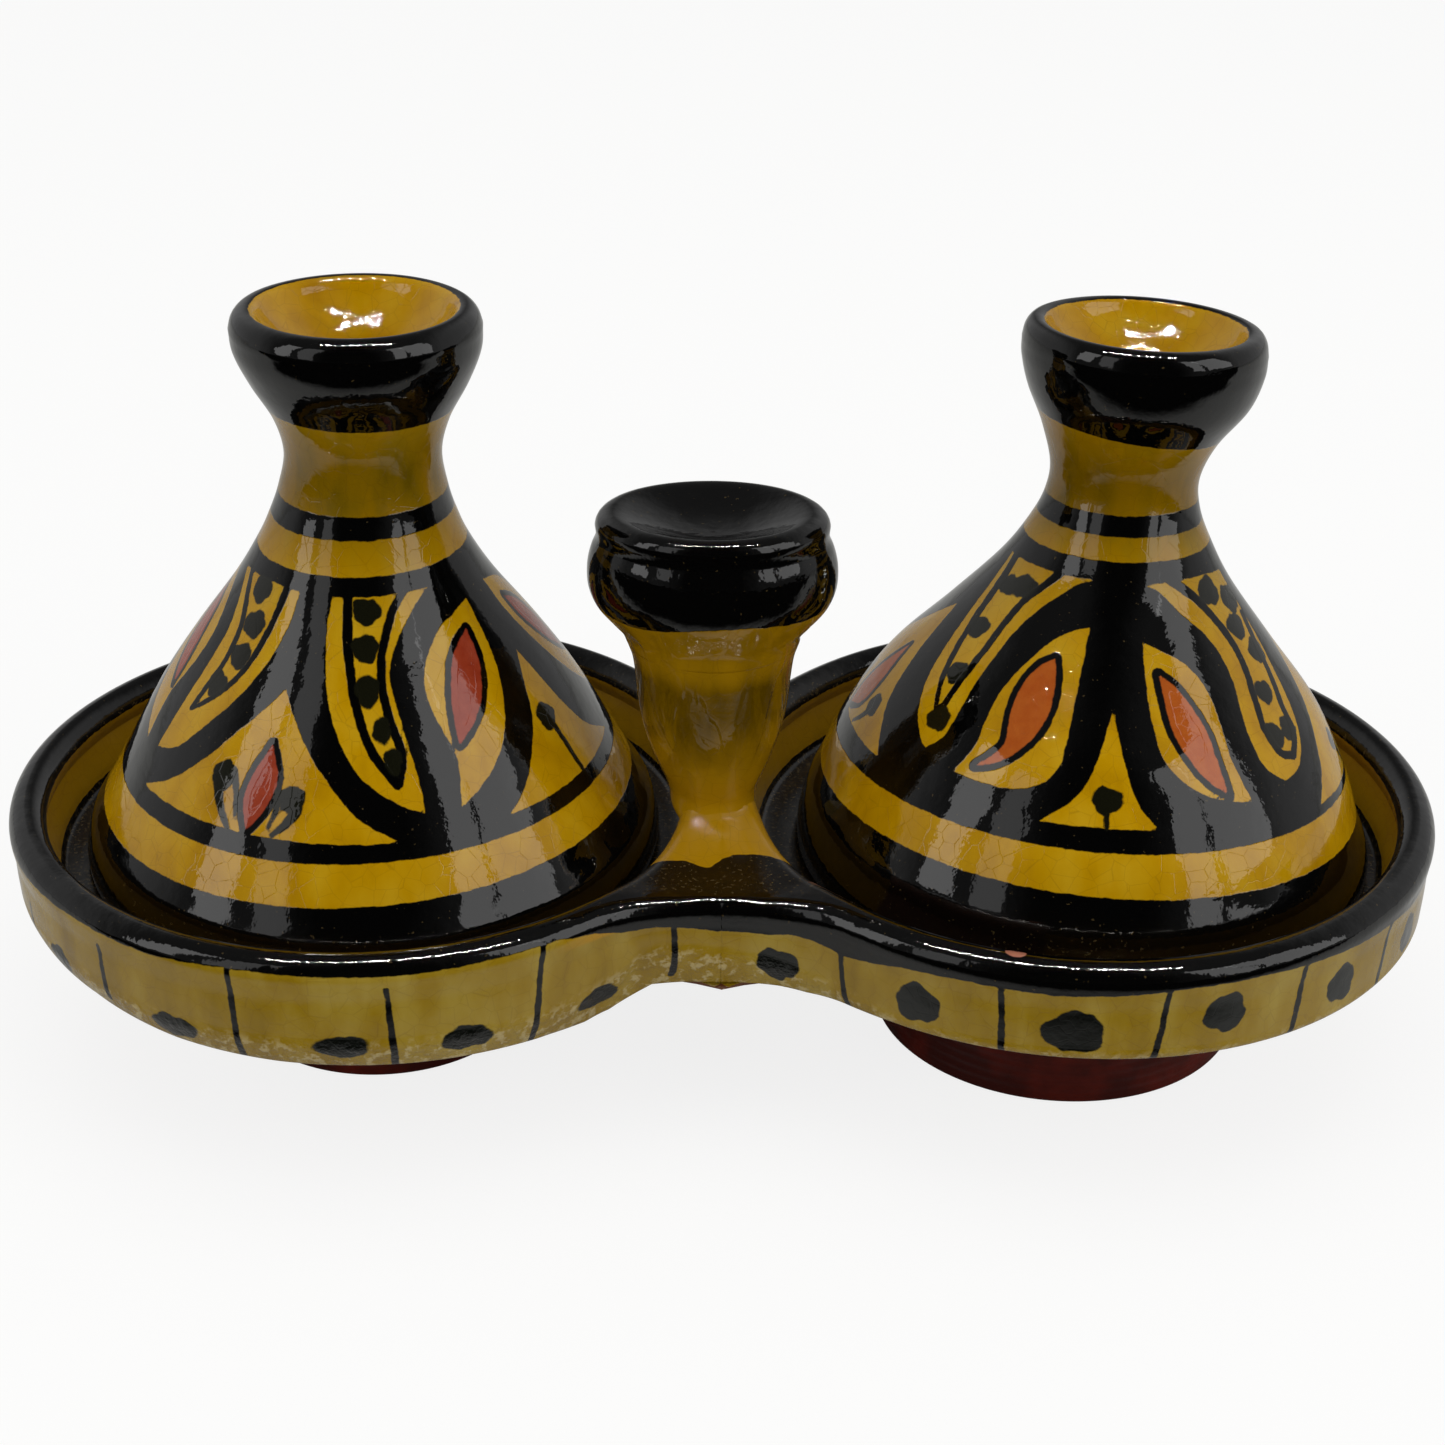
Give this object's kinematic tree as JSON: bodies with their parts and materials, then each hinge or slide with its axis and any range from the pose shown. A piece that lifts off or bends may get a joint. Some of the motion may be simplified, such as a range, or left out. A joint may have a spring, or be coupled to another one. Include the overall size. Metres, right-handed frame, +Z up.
{
  "type": "double tagine condiment server",
  "caption": "Joined pair of small footed glazed dishes with a knobbed grip between them and a lift-off conical lid with a cupped top on each.",
  "frame": {"origin": "on the table, at the middle of the bounding box of the rest pose", "axes": "+X from the left dish to the right dish, -Y towards the front where the grip stands, +Z up"},
  "size_m": [0.1974, 0.1, 0.1054],
  "materials": {
    "ochre_glaze": "glossy crazed ochre glaze with dark painted marks",
    "painted_glaze": "glossy crazed yellow glaze painted with black leaves, dots and red petals",
    "black_glaze": "glossy black glaze",
    "brown_earthenware": "dark red-brown glossy slip over earthenware"
  },
  "bodies": {
    "base": {"left_dish": "ochre_glaze", "right_dish": "ochre_glaze", "left_foot": "brown_earthenware", "right_foot": "brown_earthenware", "front_web": "black_glaze", "rear_web": "black_glaze", "grip_stem": "ochre_glaze", "grip_knob": "black_glaze"},
    "left_lid_body": {"left_lid": "painted_glaze", "left_lid_cup": "black_glaze"},
    "right_lid_body": {"right_lid": "painted_glaze", "right_lid_cup": "black_glaze"}
  },
  "joints": [
    {"name": "left_lid_lift", "type": "slide", "parent": "base", "child": "left_lid_body", "axis": [-0.2419, 0, 0.9703], "range_m": [0, 0.07]},
    {"name": "right_lid_lift", "type": "slide", "parent": "base", "child": "right_lid_body", "axis": [0.1736, 0, 0.9848], "range_m": [0, 0.07]}
  ]
}
